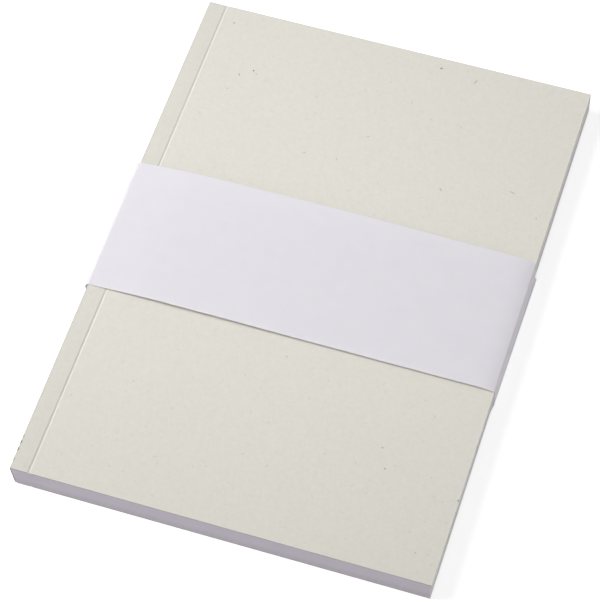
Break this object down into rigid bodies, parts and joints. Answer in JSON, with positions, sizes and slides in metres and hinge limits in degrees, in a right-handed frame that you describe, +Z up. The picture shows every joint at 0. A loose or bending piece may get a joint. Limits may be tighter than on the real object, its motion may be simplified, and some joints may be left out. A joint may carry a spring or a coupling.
{
  "type": "softcover notebook",
  "caption": "Softcover notebook with a glued spine and scored hinges, lying flat in a loose paper belly band that slides off.",
  "frame": {"origin": "centre of the footprint, on the surface that the notebook lies on, at the underside of the belly band", "axes": "+X from the spine to the fore-edge, +Y from the tail to the head, +Z up out of the front cover"},
  "size_m": [0.1494, 0.21, 0.0125],
  "materials": {
    "cover_card": "matte",
    "page_paper": "matte",
    "hot_glue": "satin",
    "side_glue": "satin",
    "band_paper": "matte"
  },
  "bodies": {
    "book": {"cover": "cover_card", "text_block": "page_paper", "spine_glue": "hot_glue", "front_side_glue": "side_glue", "back_side_glue": "side_glue"},
    "band": {"belly_band": "band_paper", "lap_glue": "side_glue"}
  },
  "joints": [
    {"name": "band_slide", "type": "slide", "parent": "book", "child": "band", "axis": [0, 1, 0], "range_m": [-0.14, 0.14]}
  ]
}
